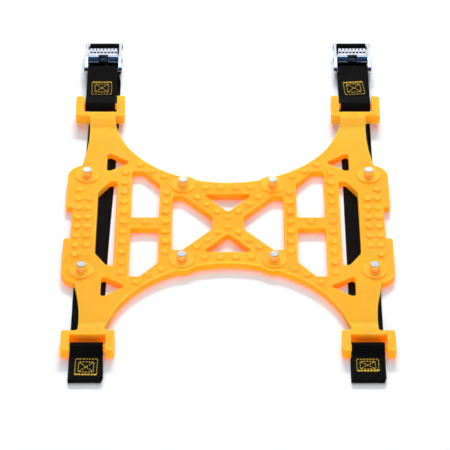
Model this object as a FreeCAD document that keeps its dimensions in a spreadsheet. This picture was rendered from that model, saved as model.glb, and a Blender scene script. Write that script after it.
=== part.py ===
import FreeCAD, Part
import math
import os

import Sketcher

os.makedirs("parts", exist_ok=True)

# Studded traction plate, in mm. The origin is the centre of the plate's flat underside.
# +X is to the right, +Y runs towards the buckles, +Z points up out of the studded face.
# The plate is the same left to right, and its back arms bow gently upwards.

SIZES = {
    # Moulded plate: side view
    "slab_thick": 6.0,
    "frame_thick": 9.0,
    "lift_y": 84.0,
    "lift_radius": 402.0,
    "slab_half_width": 133.0,
    "slab_over": 1.0,
    "tip_low_y": 161.9,
    "tip_high_y": 160.15,
    "ramp_y": 124.0,
    "step_y": 132.5,
    "step_low_y": 124.3,
    "step_high_y": 132.33,
    "trim_half_x": 160.0,
    "trim_half_y": 190.0,
    "edge_round": 0.9,
    # Moulded plate: outline of one quarter
    "waist_y": 51.5,
    "waist_radius": 95.5,
    "bulge_start_x": 26.34,
    "bulge_start_y": 55.19,
    "bulge_end_x": 39.56,
    "bulge_end_y": 60.07,
    "bulge_radius": 12.5,
    "neck_x": 94.87,
    "frame_in_y": 136.0,
    "frame_end_y": 158.5,
    "frame_inner_x": 86.5,
    "frame_outer_x": 127.5,
    "arm_x": 115.0,
    "arm_y": 120.0,
    "arm_ax": 117.9,
    "arm_ay": 87.0,
    "arm_bx": 116.3,
    "arm_by": 98.0,
    "arm_cx": 115.3,
    "arm_cy": 109.5,
    "kink_x": 120.0,
    "kink_y": 75.1,
    "lug_radius": 14.6,
    "lug_x": 130.9,
    "lug_y": 61.0,
    "notch_x": 125.4,
    "notch_y": 20.5,
    "corner_round": 2.0,
    # Strap window and side windows
    "strap_win_in": 90.2,
    "strap_win_out": 105.3,
    "strap_win_top": 54.7,
    "strap_win_cut_x": 96.2,
    "strap_win_cut_y": 53.5,
    "strap_win_side_y": 39.0,
    "ladder_in": 55.3,
    "ladder_out": 78.2,
    "ladder_low": 6.5,
    "ladder_top": 68.0,
    "ladder_slant_x": 69.5,
    "ladder_slant_y": 50.5,
    "kite_out": 44.8,
    "kite_in": 12.7,
    "kite_top": 35.0,
    "kite_top_x": 36.5,
    "kite_low": 8.5,
    "tri_tip": 13.2,
    "tri_base": 37.5,
    "tri_half": 20.5,
    "arm_win_x": 99.5,
    "arm_win_low": 66.0,
    "arm_win_top": 94.0,
    "arm_win_in": 80.0,
    "arm_win_mid": 79.5,
    "window_round": 2.5,
    # End frames
    "slot_in_x": 93.25,
    "slot_out_x": 120.75,
    "slot_start_y": 140.5,
    "bar_y": 152.0,
    "bar_height": 4.7,
    "bar_radius": 2.5,
    "bar_root": 1.0,
    # Raised details
    "pad_radius": 9.85,
    "pad_height": 1.2,
    "pad_round": 0.7,
    "nub_radius": 3.0,
    "nub_height": 1.5,
    "nub_round": 1.2,
    # Nub positions
    "rail_nub_in": 112.7,
    "rail_nub_out": 121.0,
    "rail_nub_low": 6.0,
    "rail_nub_mid": 18.0,
    "rail_nub_high": 30.0,
    "rail_nub_far": 42.0,
    "outer_col_x": 84.0,
    "outer_col_a": 12.8,
    "outer_col_b": 25.6,
    "outer_col_c": 38.4,
    "outer_col_d": 51.2,
    "outer_col_e": 64.0,
    "inner_col_x": 50.0,
    "inner_col_a": 12.7,
    "inner_col_b": 25.4,
    "inner_col_c": 38.1,
    "rung_nub_x": 66.6,
    "edge_nub_ax": 72.3,
    "edge_nub_ay": 75.5,
    "edge_nub_bx": 62.6,
    "edge_nub_by": 66.6,
    "edge_nub_cx": 52.3,
    "edge_nub_cy": 59.5,
    "bridge_nub_ax": 6.2,
    "bridge_nub_bx": 18.5,
    "bridge_nub_y": 45.0,
    "cross_nub_ax": 8.5,
    "cross_nub_ay": 13.4,
    "cross_nub_bx": 17.1,
    "cross_nub_by": 23.0,
    "cross_nub_cx": 24.9,
    "cross_nub_cy": 32.0,
    "centre_nub_y": 6.8,
    # Studs
    "stud_inner_x": 36.5,
    "stud_inner_y": 48.0,
    "stud_outer_x": 115.0,
    "stud_outer_y": 61.0,
    "flange_low": 0.4,
    "flange_high": 1.6,
    "flange_radius": 6.0,
    "shank_radius": 2.6,
    "stem_radius": 3.4,
    "stem_low": 7.2,
    "stem_high": 11.8,
    "tip_radius": 3.7,
    "tip_flat": 3.45,
    "tip_high": 12.35,
    "stud_top": 12.6,
    # Webbing
    "strap_x": 107.0,
    "strap_width": 25.4,
    "strap_thick": 1.3,
    "strap_low": -1.0,
    "channel_depth": 0.3,
    "channel_in_x": 93.6,
    "channel_out_x": 120.4,
    "bar_wrap": 2.8,
    "front_split_y": 152.3,
    "run_front_y": 152.0,
    "fold_y": 184.5,
    "fold_z": 1.125,
    "fold_inner": 0.825,
    "front_bend_y": 162.5,
    "front_bend_z": 8.25,
    "bend_inner": 5.0,
    "front_end_y": 183.6,
    "front_end_z": 0.6,
    "back_bar_y": 150.89,
    "back_bar_z": 10.37,
    "run_back_y": 150.7,
    "link_start_y": 151.0,
    "link_end_y": 208.4,
    "sewn_low_z": 7.6,
    "loop_start_y": 177.7,
    "loop_end_y": 177.3,
    "loop_bend_back_y": 190.0,
    "loop_bend_front_y": 166.5,
    "loop_bend_low_z": 2.6,
    "loop_bend_high_z": 15.25,
    "tail_start_y": 208.7,
    "tail_rise_y": 231.5,
    "tail_rise_z": 6.3,
    "tail_rise_inner": 6.0,
    "tail_fall_y": 226.5,
    "tail_fall_z": 8.1,
    "tail_end_y": 205.0,
    "tail_end_z": 1.8,
    # Sewn crosses
    "sewn_half": 9.1,
    "sewn_line": 0.8,
    "sewn_inner_half": 6.3,
    "sewn_high": 0.3,
    "sewn_front_y": 172.5,
    "sewn_back_y": 177.5,
    "sewn_front_z": 3.25,
    "sewn_back_z": 10.25,
    # Buckle frame
    "buckle_half": 15.5,
    "buckle_inner": 13.2,
    "crossbar_y": 208.5,
    "crossbar_z": 7.0,
    "crossbar_radius": 2.0,
    "bar_wrap_buckle": 2.3,
    "far_bar_y": 242.0,
    "axle_y": 220.5,
    "axle_z": 8.7,
    "axle_radius": 1.5,
    "ear_end_radius": 3.8,
    "ear_hump_radius": 5.0,
    "ear_foot_radius": 1.2,
    "ear_foot_front_y": 211.0,
    "ear_foot_back_y": 238.0,
    "ear_foot_z": 1.55,
    "base_top": 1.75,
    "base_front_y": 213.0,
    "base_back_y": 229.0,
    "base_clear_y": 260.0,
    "base_clear_front_y": 195.0,
    "buckle_clear_z": 40.0,
    "rivet_radius": 2.7,
    "rivet_high": 0.6,
    "axle_rivet_radius": 2.3,
    # Cam lever, measured from its axle
    "lever_half": 12.95,
    "thumb_half": 12.0,
    "barrel_radius": 5.25,
    "lever_bore": 1.55,
    "thumb_end": 7.7,
    "thumb_low": 3.85,
    "lip_end": 8.6,
    "lip_high": 6.0,
    "slot_half": 4.0,
    "slot_back": 0.8,
    "coil_room": 3.1,
    "slot_front": 8.0,
    "tooth_cut_radius": 0.6,
    "tooth_arc": 64.0,
    "rib_low_y": 4.3,
    "rib_high_y": 9.2,
    "rib_half": 1.05,
    "rib_high": 0.9,
    "rib_first_x": 10.5,
    "rib_span": 21.0,
    # Torsion spring, measured from the axle
    "coil_radius": 2.35,
    "wire_radius": 0.4,
    "coil_pitch": 1.1,
    "coil_turns": 5.25,
    "coil_start": 2.9,
    "coil_end": 2.875,
    "leg_up": 1.2,
    "leg_forward": 5.6,
}

RIB_COUNT = 8
TOOTH_COUNT = 5
FULL_TURN = 360

# How close a measured place or size has to be, in mm, to count as the one looked for.
EXACT = 0.001
UPRIGHT = 0.01
NEAR = 0.1

# A face looks upwards when its normal's height is above the first, and is a wall
# when it is below the second.
UPWARD = 0.9
LEVEL = 0.2

# Order in which the quarters of the plate's outline are walked, as (flip X, flip Y, outwards).
QUARTER_WALKS = (
    (False, False, True),
    (False, True, False),
    (True, True, True),
    (True, False, False),
)

doc = FreeCAD.newDocument("TractionPlate")
sheet = doc.addObject("Spreadsheet::Sheet", "Sizes")
for row, alias in enumerate(SIZES, start=1):
    sheet.set("A%d" % row, alias)
    sheet.set("B%d" % row, str(SIZES[alias]))
    sheet.setAlias("B%d" % row, alias)
doc.recompute()

pieces = []
pending = []


def size(term):
    """Value of a term such as "bar_y" or "- bar_y + strap_thick"."""
    total = 0.0
    sign = 1.0
    for word in term.split():
        if word in ("+", "-"):
            sign = 1.0 if word == "+" else -1.0
        else:
            total += sign * SIZES[word]
    return total


def formula(term):
    """The same term as an expression on the sheet."""
    words = [word if word in ("+", "-") else "Sizes." + word for word in term.split()]
    return " ".join(words)


def bind(item, name, term):
    item.setExpression(name, formula(term))


def new_body(label):
    body = doc.addObject("PartDesign::Body", label)
    body.Label = label
    pieces.append(body)
    return body


def origin_feature(body, role):
    return [item for item in body.Origin.OriginFeatures if item.Role == role][0]


def new_sketch(body, name, role, offset=None):
    """Empty sketch on one of the body's own origin planes, moved along its normal by a sheet term."""
    sketch = body.newObject("Sketcher::SketchObject", name)
    sketch.AttachmentSupport = [(origin_feature(body, role), "")]
    sketch.MapMode = "FlatFace"
    if offset:
        place = FreeCAD.Placement(FreeCAD.Vector(0, 0, size(offset)), FreeCAD.Rotation())
        sketch.AttachmentOffset = place
        bind(sketch, "AttachmentOffset.Base.z", offset)
    return sketch


def relate(kind, *parts):
    """Geometric constraint, kept until the sketch is settled."""
    pending.append((Sketcher.Constraint(kind, *parts), None))


def datum(kind, parts, term):
    """Dimension whose value comes from the sheet, kept until the sketch is settled."""
    pending.append((Sketcher.Constraint(kind, *parts, size(term)), term))


def settle(sketch):
    """Put the kept constraints on the sketch in one go and bind its dimensions to the sheet."""
    indices = sketch.addConstraint([constraint for constraint, _ in pending])
    for index, (_, term) in zip(indices, pending):
        if term:
            bind(sketch, "Constraints[%d]" % index, term)
    pending.clear()


def hold(geometry, point, across, along):
    """Hold a sketch point at two sheet terms from the sketch's origin. None means on the axis."""
    if across is None:
        relate("PointOnObject", geometry, point, -2)
    else:
        datum("DistanceX", (-1, 1, geometry, point), across)
    if along is None:
        relate("PointOnObject", geometry, point, -1)
    else:
        datum("DistanceY", (-1, 1, geometry, point), along)


def spot(corner):
    across, along = corner[:2]
    return FreeCAD.Vector(size(across) if across else 0.0, size(along) if along else 0.0, 0)


def arc_between(start, end, radius, turn):
    """Short arc from start to end; turn is 1 when it bends to the left on the way."""
    chord = end - start
    half = chord.Length / 2
    rise = math.sqrt(max(radius * radius - half * half, 0.0))
    left = FreeCAD.Vector(-chord.y, chord.x, 0).normalize()
    centre = (start + end) * 0.5 + left * (rise * turn)
    return arc_around(centre, start, end, radius, turn)


def arc_around(centre, start, end, radius, turn):
    first = math.atan2(start.y - centre.y, start.x - centre.x)
    last = math.atan2(end.y - centre.y, end.x - centre.x)
    circle = Part.Circle(centre, FreeCAD.Vector(0, 0, 1), radius)
    if turn > 0:
        return Part.ArcOfCircle(circle, first, last)
    return Part.ArcOfCircle(circle, last, first)


def add_loop(sketch, corners):
    """Closed loop of corners (across, along), or (across, along, radius, turn) where an arc ends."""
    count = len(corners)
    ends = []
    for index, corner in enumerate(corners):
        start = spot(corners[index - 1])
        end = spot(corner)
        if len(corner) == 2:
            geometry = sketch.addGeometry(Part.LineSegment(start, end))
            ends.append((geometry, 1, 2))
        else:
            arc = arc_between(start, end, size(corner[2]), corner[3])
            geometry = sketch.addGeometry(arc)
            ends.append((geometry, 1, 2) if corner[3] > 0 else (geometry, 2, 1))
    for index, corner in enumerate(corners):
        geometry, _, last = ends[index]
        following, first, _ = ends[(index + 1) % count]
        relate("Coincident", geometry, last, following, first)
        hold(geometry, last, corner[0], corner[1])
        if len(corner) > 2:
            datum("Radius", (geometry,), corner[2])


def add_box(sketch, low_x, high_x, low_y, high_y):
    add_loop(sketch, [(low_x, low_y), (high_x, low_y), (high_x, high_y), (low_x, high_y)])


def add_circle(sketch, across, along, radius):
    middle = spot((across, along))
    circle = Part.Circle(middle, FreeCAD.Vector(0, 0, 1), size(radius))
    geometry = sketch.addGeometry(circle)
    hold(geometry, 3, across, along)
    datum("Radius", (geometry,), radius)


def straight_run(first, second):
    """Ends of the straight run between two rollers, each (point, signed radius), left turns positive."""
    gap = second[0] - first[0]
    heading = math.atan2(gap.y, gap.x) - math.asin((second[1] - first[1]) / gap.Length)
    left = FreeCAD.Vector(-math.sin(heading), math.cos(heading), 0)
    return first[0] - left * first[1], second[0] - left * second[1]


def add_edge(sketch, points, turns, radii):
    """One edge of a band over rollers, tangent all along. The first and last points are its free ends."""
    signed = []
    for point, turn, radius in zip(points, turns, radii):
        signed.append((spot(point), turn * (size(radius) if radius else 0.0)))
    runs = [straight_run(signed[i], signed[i + 1]) for i in range(len(signed) - 1)]
    lines = [sketch.addGeometry(Part.LineSegment(start, end)) for start, end in runs]
    for index in range(1, len(points) - 1):
        centre = signed[index][0]
        arrive = runs[index - 1][1]
        leave = runs[index][0]
        arc = arc_around(centre, arrive, leave, abs(signed[index][1]), turns[index])
        bend = sketch.addGeometry(arc)
        arrive_end, leave_end = (1, 2) if turns[index] > 0 else (2, 1)
        relate("Tangent", lines[index - 1], 2, bend, arrive_end)
        relate("Tangent", bend, leave_end, lines[index], 1)
        hold(bend, 3, points[index][0], points[index][1])
        datum("Radius", (bend,), radii[index])
    hold(lines[0], 1, points[0][0], points[0][1])
    hold(lines[-1], 2, points[-1][0], points[-1][1])
    return lines[0], lines[-1]


def add_band(sketch, start, rollers, end):
    """Outline of a strap seen from the side.

    start and end are (across, lower, upper, heading): the strap leaves and arrives level, and heading
    is 1 towards +Y and -1 towards -Y. A roller is (across, along, inner radius, turn).
    """
    sides = []
    for side in (1, -1):
        points = [(start[0], start[2] if side * start[3] > 0 else start[1])]
        radii = [None]
        turns = [0]
        for across, along, inner, turn in rollers:
            points.append((across, along))
            radii.append(inner if side * turn > 0 else inner + " + strap_thick")
            turns.append(turn)
        points.append((end[0], end[2] if side * end[3] > 0 else end[1]))
        radii.append(None)
        turns.append(0)
        sides.append((points, add_edge(sketch, points, turns, radii)))
    left, right = sides
    for index, vertex in ((0, 1), (-1, 2)):
        low = spot(left[0][index])
        high = spot(right[0][index])
        cap = sketch.addGeometry(Part.LineSegment(low, high))
        relate("Coincident", cap, 1, left[1][index], vertex)
        relate("Coincident", cap, 2, right[1][index], vertex)


def add_hull(sketch, rollers):
    """Closed outline stretched round circles, given in left-turning order as (across, along, radius)."""
    count = len(rollers)
    signed = [(spot(item), size(item[2])) for item in rollers]
    runs = [straight_run(signed[i], signed[(i + 1) % count]) for i in range(count)]
    lines = [sketch.addGeometry(Part.LineSegment(start, end)) for start, end in runs]
    for index in range(count):
        arrive = runs[index - 1][1]
        leave = runs[index][0]
        arc = arc_around(signed[index][0], arrive, leave, signed[index][1], 1)
        bend = sketch.addGeometry(arc)
        relate("Tangent", lines[index - 1], 2, bend, 1)
        relate("Tangent", bend, 2, lines[index], 1)
        hold(bend, 3, rollers[index][0], rollers[index][1])
        datum("Radius", (bend,), rollers[index][2])


def extrude(body, kind, name, sketch, length=None, both=False, back=False):
    """Pad or Pocket. No length means through everything, both ways."""
    settle(sketch)
    item = body.newObject("PartDesign::" + kind, name)
    item.Profile = sketch
    if length is None:
        item.Type = "ThroughAll"
        item.SideType = "Symmetric"
    else:
        item.Length = size(length)
        bind(item, "Length", length)
        item.SideType = "Symmetric" if both else "One side"
        item.Reversed = back
    sketch.Visibility = False
    body.Tip = item
    doc.recompute()
    return item


def repeat(body, name, feature, transforms):
    """Mirror or pattern a feature. transforms is a list of (kind, reference, settings)."""
    multi = body.newObject("PartDesign::MultiTransform", name)
    multi.Originals = [feature]
    steps = []
    for kind, reference, settings in transforms:
        step = body.newObject("PartDesign::" + kind, name + kind)
        if kind == "Mirrored":
            step.MirrorPlane = (reference, [""])
        elif kind == "LinearPattern":
            step.Direction = (reference, [""])
            step.Length = size(settings[0])
            bind(step, "Length", settings[0])
            step.Occurrences = settings[1]
            step.Reversed = settings[2]
        else:
            step.Axis = (reference, [""])
            step.Angle = size(settings[0])
            bind(step, "Angle", settings[0])
            step.Occurrences = settings[1]
            step.Reversed = settings[2]
        steps.append(step)
    multi.Transformations = steps
    body.Tip = multi
    doc.recompute()
    return multi


def round_edges(body, name, base, edges, radius):
    item = body.newObject("PartDesign::Fillet", name)
    item.Base = (base, edges)
    item.Radius = size(radius)
    bind(item, "Radius", radius)
    body.Tip = item
    doc.recompute()
    return item


def upright_edges(shape, places):
    """Names of the vertical edges at the given (x, y) places, in every mirrored quarter."""
    wanted = [(abs(x), abs(y)) for x, y in places]
    names = []
    for index, edge in enumerate(shape.Edges, start=1):
        ends = [vertex.Point for vertex in edge.Vertexes]
        if len(ends) != 2 or math.hypot(ends[0].x - ends[1].x, ends[0].y - ends[1].y) > UPRIGHT:
            continue
        for x, y in wanted:
            if math.hypot(abs(ends[0].x) - x, abs(ends[0].y) - y) < NEAR:
                names.append("Edge%d" % index)
                break
    return names


def rim_edges(shape, low):
    """Names of the upper edges between an upward face and a wall, all but those of the waist arcs."""
    names = []
    for index, edge in enumerate(shape.Edges, start=1):
        middle = edge.valueAt((edge.FirstParameter + edge.LastParameter) / 2)
        from_arc = math.hypot(middle.x, abs(middle.y) - size("waist_y + waist_radius"))
        on_waist = from_arc < size("waist_radius + edge_round")
        on_shoulder = abs(middle.x) < size("neck_x") and abs(middle.y) > size("ramp_y - edge_round")
        if middle.z < low or on_waist or on_shoulder:
            continue
        faces = shape.ancestorsOfType(edge, Part.Face)
        slopes = []
        for face in faces:
            u, v = face.Surface.parameter(middle)
            slopes.append(face.normalAt(u, v).z)
        if len(slopes) == 2 and max(slopes) > UPWARD and abs(min(slopes, key=abs)) < LEVEL:
            names.append("Edge%d" % index)
    return names


def quarters(across, along):
    """The four mirrored places of one quarter's place, or two when it lies on an axis."""
    xs = [across, "- " + across] if across else [None]
    ys = [along, "- " + along] if along else [None]
    return [(x, y) for x in xs for y in ys]


def make_plate_side(body):
    """Side view of the plate: flat underside, back arms bowed upwards, thicker end frames."""
    side = new_sketch(body, "plate_side", "YZ_Plane")
    centre = ("lift_y", "lift_radius")
    front_end = "- frame_end_y - slab_over"
    tip_low = bowed_point("tip_low_y", "lift_radius")
    tip_high = bowed_point("tip_high_y", "lift_radius - frame_thick")
    step_high = bowed_point("step_high_y", "lift_radius - frame_thick")
    step_low = bowed_point("step_low_y", "lift_radius - slab_thick")
    flat_low = spot(("lift_y", None))
    flat_high = spot(("lift_y", "slab_thick"))
    middle = spot(centre)
    full = size("lift_radius")
    corners = [
        Part.LineSegment(spot((front_end, None)), flat_low),
        arc_around(middle, flat_low, tip_low, full, 1),
        Part.LineSegment(tip_low, tip_high),
        arc_around(middle, tip_high, step_high, full - size("frame_thick"), -1),
        Part.LineSegment(step_high, step_low),
        arc_around(middle, step_low, flat_high, full - size("slab_thick"), -1),
        Part.LineSegment(flat_high, spot(("- ramp_y", "slab_thick"))),
        Part.LineSegment(spot(("- ramp_y", "slab_thick")), spot(("- step_y", "frame_thick"))),
        Part.LineSegment(spot(("- step_y", "frame_thick")), spot((front_end, "frame_thick"))),
        Part.LineSegment(spot((front_end, "frame_thick")), spot((front_end, None))),
    ]
    for piece in corners:
        side.addGeometry(piece)
    backwards = (3, 5)
    for index in range(len(corners)):
        following = (index + 1) % len(corners)
        leave = 1 if index in backwards else 2
        arrive = 2 if following in backwards else 1
        relate("Coincident", index, leave, following, arrive)
    hold(0, 1, front_end, None)
    hold(0, 2, "lift_y", None)
    hold(1, 3, *centre)
    hold(3, 3, *centre)
    hold(5, 3, *centre)
    datum("DistanceX", (-1, 1, 1, 2), "tip_low_y")
    datum("DistanceX", (-1, 1, 3, 2), "tip_high_y")
    datum("DistanceX", (-1, 1, 3, 1), "step_high_y")
    datum("DistanceX", (-1, 1, 5, 2), "step_low_y")
    datum("Radius", (3,), "lift_radius - frame_thick")
    hold(6, 1, "lift_y", "slab_thick")
    hold(6, 2, "- ramp_y", "slab_thick")
    hold(7, 2, "- step_y", "frame_thick")
    hold(8, 2, front_end, "frame_thick")
    return extrude(body, "Pad", "plate_slab", side, "slab_half_width + slab_half_width", both=True)


def bowed_point(across, radius):
    """Point of the bowed back at a given Y and distance from the bow's centre."""
    reach = size(across) - size("lift_y")
    height = size("lift_radius") - math.sqrt(size(radius) ** 2 - reach ** 2)
    return FreeCAD.Vector(size(across), height, 0)


def plate_outline():
    """Corners of the whole outline, from one quarter mirrored about both axes."""
    quarter = [
        (None, "waist_y"),
        ("bulge_start_x", "bulge_start_y"),
        ("bulge_end_x", "bulge_end_y"),
        ("neck_x", "frame_in_y"),
        ("frame_inner_x", "frame_in_y"),
        ("frame_inner_x", "frame_end_y"),
        ("frame_outer_x", "frame_end_y"),
        ("frame_outer_x", "frame_in_y"),
        ("arm_x", "frame_in_y"),
        ("arm_x", "arm_y"),
        ("arm_cx", "arm_cy"),
        ("arm_bx", "arm_by"),
        ("arm_ax", "arm_ay"),
        ("kink_x", "kink_y"),
        ("lug_x", "lug_y"),
        ("lug_x", "notch_y"),
        ("notch_x", "notch_y"),
    ]
    # Arcs of the quarter, by the corner they end at when walked from the waist outwards.
    arcs = {
        1: ("waist_radius", 1),
        2: ("bulge_radius", -1),
        3: ("waist_radius", 1),
        14: ("lug_radius", -1),
    }

    def placed(corner, flip_x, flip_y):
        across, along = corner
        if across and flip_x:
            across = "- " + across
        if along and flip_y:
            along = "- " + along
        return (across, along)

    last = len(quarter) - 1
    outline = []
    for flip_x, flip_y, outwards in QUARTER_WALKS:
        order = range(last + 1) if outwards else range(last, -1, -1)
        for index in order:
            if index == 0 and outwards:
                continue
            corner = placed(quarter[index], flip_x, flip_y)
            arc = arcs.get(index if outwards else index + 1)
            outline.append(corner + arc if arc else corner)
    return outline


def make_plate():
    body = new_body("plate")
    xz_plane = origin_feature(body, "XZ_Plane")
    yz_plane = origin_feature(body, "YZ_Plane")
    both_ways = [("Mirrored", yz_plane, None), ("Mirrored", xz_plane, None)]
    make_plate_side(body)

    trim = new_sketch(body, "plate_outline", "XY_Plane")
    add_box(trim, "- trim_half_x", "trim_half_x", "- trim_half_y", "trim_half_y")
    add_loop(trim, plate_outline())
    extrude(body, "Pocket", "plate_trim", trim)

    windows = new_sketch(body, "corner_windows", "XY_Plane")
    add_loop(windows, [
        ("ladder_in", "ladder_low"),
        ("ladder_out", "ladder_low"),
        ("ladder_out", "ladder_top"),
        ("ladder_slant_x", "ladder_top"),
        ("ladder_in", "ladder_slant_y"),
    ])
    add_loop(windows, [
        ("arm_win_x", "arm_win_low"),
        ("arm_win_x", "arm_win_top"),
        ("arm_win_in", "arm_win_mid"),
    ])
    add_box(windows, "slot_in_x", "slot_out_x", "slot_start_y", "trim_half_y")
    cut = extrude(body, "Pocket", "corner_window_cut", windows)
    repeat(body, "corner_window_cuts", cut, both_ways)

    sides = new_sketch(body, "side_windows", "XY_Plane")
    add_loop(sides, [
        ("strap_win_in", "- strap_win_top"),
        ("strap_win_cut_x", "- strap_win_cut_y"),
        ("strap_win_out", "- strap_win_side_y"),
        ("strap_win_out", "strap_win_side_y"),
        ("strap_win_cut_x", "strap_win_cut_y"),
        ("strap_win_in", "strap_win_top"),
    ])
    add_loop(sides, [
        ("kite_in", "- kite_low"),
        ("kite_top_x", "- kite_top"),
        ("kite_out", "- kite_top"),
        ("kite_out", "kite_top"),
        ("kite_top_x", "kite_top"),
        ("kite_in", "kite_low"),
    ])
    cut = extrude(body, "Pocket", "side_window_cut", sides)
    repeat(body, "side_window_cuts", cut, [("Mirrored", yz_plane, None)])

    ends = new_sketch(body, "end_windows", "XY_Plane")
    add_loop(ends, [(None, "tri_tip"), ("tri_half", "tri_base"), ("- tri_half", "tri_base")])
    cut = extrude(body, "Pocket", "end_window_cut", ends)
    windows_cut = repeat(body, "end_window_cuts", cut, [("Mirrored", xz_plane, None)])

    window_corners = [
        ("ladder_in", "ladder_low"), ("ladder_out", "ladder_low"), ("ladder_out", "ladder_top"),
        ("ladder_slant_x", "ladder_top"), ("ladder_in", "ladder_slant_y"),
        ("arm_win_x", "arm_win_low"), ("arm_win_x", "arm_win_top"), ("arm_win_in", "arm_win_mid"),
        ("strap_win_in", "strap_win_top"), ("strap_win_cut_x", "strap_win_cut_y"),
        ("strap_win_out", "strap_win_side_y"), ("kite_in", "kite_low"), ("kite_top_x", "kite_top"),
        ("kite_out", "kite_top"), (None, "tri_tip"), ("tri_half", "tri_base"),
        ("neck_x", "frame_in_y"), ("arm_x", "frame_in_y"), ("bulge_start_x", "bulge_start_y"),
        ("bulge_end_x", "bulge_end_y"), ("kink_x", "kink_y"),
    ]
    places = [(spot(corner).x, spot(corner).y) for corner in window_corners]
    edges = upright_edges(windows_cut.Shape, places)
    softened = round_edges(body, "window_rounds", windows_cut, edges, "window_round")

    outer_corners = [
        ("frame_inner_x", "frame_in_y"), ("frame_inner_x", "frame_end_y"),
        ("frame_outer_x", "frame_end_y"), ("frame_outer_x", "frame_in_y"),
        ("lug_x", "notch_y"), ("notch_x", "notch_y"),
    ]
    places = [(spot(corner).x, spot(corner).y) for corner in outer_corners]
    edges = upright_edges(softened.Shape, places)
    softened = round_edges(body, "corner_rounds", softened, edges, "corner_round")
    edges = rim_edges(softened.Shape, size("slab_thick") - NEAR)
    round_edges(body, "rim_rounds", softened, edges, "edge_round")

    channels = new_sketch(body, "strap_channels", "XY_Plane")
    add_box(channels, "channel_in_x", "channel_out_x", "- trim_half_y", "trim_half_y")
    cut = extrude(body, "Pocket", "strap_channel_cut", channels, "channel_depth", back=True)
    repeat(body, "strap_channel_cuts", cut, [("Mirrored", yz_plane, None)])

    # Round bar across the open end of each frame.
    bars = new_sketch(body, "front_bars", "YZ_Plane", "slot_in_x - bar_root")
    add_circle(bars, "- bar_y", "bar_height", "bar_radius")
    add_circle(bars, "back_bar_y", "back_bar_z", "bar_radius")
    bar = extrude(body, "Pad", "bar", bars, "slot_out_x + bar_root - slot_in_x + bar_root")
    repeat(body, "end_bars", bar, [("Mirrored", yz_plane, None)])

    studs = [("stud_inner_x", "stud_inner_y"), ("stud_outer_x", "stud_outer_y")]
    pads = new_sketch(body, "stud_pads", "XY_Plane", "slab_thick")
    for across, along in studs:
        for place in quarters(across, along):
            add_circle(pads, *place, "pad_radius")
    pad = extrude(body, "Pad", "stud_pad", pads, "pad_height")
    edges = flat_circles(pad.Shape, "pad_radius", size("slab_thick + pad_height"))
    round_edges(body, "stud_pad_rounds", pad, edges, "pad_round")

    nubs = new_sketch(body, "nub_places", "XY_Plane", "slab_thick")
    for place in nub_places():
        add_circle(nubs, *place, "nub_radius")
    pad = extrude(body, "Pad", "nubs", nubs, "nub_height")
    edges = flat_circles(pad.Shape, "nub_radius", size("slab_thick + nub_height"))
    round_edges(body, "nub_rounds", pad, edges, "nub_round")

    holes = new_sketch(body, "stud_holes", "XY_Plane")
    seats = new_sketch(body, "stud_seats", "XY_Plane")
    for across, along in studs:
        for place in quarters(across, along):
            add_circle(holes, *place, "shank_radius")
    extrude(body, "Pocket", "stud_hole_cut", holes)
    for across, along in studs:
        for place in quarters(across, along):
            add_circle(seats, *place, "flange_radius")
    extrude(body, "Pocket", "stud_seat_cut", seats, "flange_high", back=True)
    return body


def nub_places():
    places = []
    for along in ("rail_nub_low", "rail_nub_mid", "rail_nub_high"):
        places += quarters("rail_nub_in", along)
        places += quarters("rail_nub_out", along)
    places += quarters("rail_nub_out", "rail_nub_far")
    for along in (None, "outer_col_a", "outer_col_b", "outer_col_c", "outer_col_d", "outer_col_e"):
        places += quarters("outer_col_x", along)
    for along in (None, "inner_col_a", "inner_col_b", "inner_col_c"):
        places += quarters("inner_col_x", along)
    places += quarters("rung_nub_x", None)
    places += quarters("edge_nub_ax", "edge_nub_ay")
    places += quarters("edge_nub_bx", "edge_nub_by")
    places += quarters("edge_nub_cx", "edge_nub_cy")
    places += quarters("bridge_nub_ax", "bridge_nub_y")
    places += quarters("bridge_nub_bx", "bridge_nub_y")
    places += quarters("cross_nub_ax", "cross_nub_ay")
    places += quarters("cross_nub_bx", "cross_nub_by")
    places += quarters("cross_nub_cx", "cross_nub_cy")
    places += quarters(None, "centre_nub_y")
    return places


def flat_circles(shape, radius, height):
    """Names of the whole circles of one radius that lie at one height."""
    names = []
    for index, edge in enumerate(shape.Edges, start=1):
        curve = edge.Curve
        if curve.TypeId != "Part::GeomCircle" or abs(curve.Radius - size(radius)) > EXACT:
            continue
        if abs(curve.Center.z - height) < EXACT:
            names.append("Edge%d" % index)
    return names


def place(body, x=None, y=None, z=None):
    """Move a body by sheet terms."""
    base = FreeCAD.Vector(*[size(term) if term else 0 for term in (x, y, z)])
    body.Placement = FreeCAD.Placement(base, FreeCAD.Rotation())
    for axis, term in (("x", x), ("y", y), ("z", z)):
        if term:
            bind(body, "Placement.Base." + axis, term)


def spin(body, name, sketch, axis):
    """Full turn of a profile about one axis of its own sketch."""
    settle(sketch)
    item = body.newObject("PartDesign::Revolution", name)
    item.Profile = sketch
    item.ReferenceAxis = (sketch, [axis])
    item.Angle = FULL_TURN
    sketch.Visibility = False
    body.Tip = item
    doc.recompute()
    return item


def make_stud(label, x, y):
    """Steel stud: flange under the plate, shank through it, stem and flat tip above."""
    body = new_body(label)
    profile = new_sketch(body, label + "_profile", "XZ_Plane")
    add_loop(profile, [
        (None, "flange_low"),
        ("flange_radius", "flange_low"),
        ("flange_radius", "flange_high"),
        ("shank_radius", "flange_high"),
        ("shank_radius", "stem_low"),
        ("stem_radius", "stem_low"),
        ("stem_radius", "stem_high"),
        ("tip_radius", "stem_high"),
        ("tip_radius", "tip_high"),
        ("tip_flat", "stud_top"),
        (None, "stud_top"),
    ])
    spin(body, label + "_turned", profile, "V_Axis")
    place(body, x, y)


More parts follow.
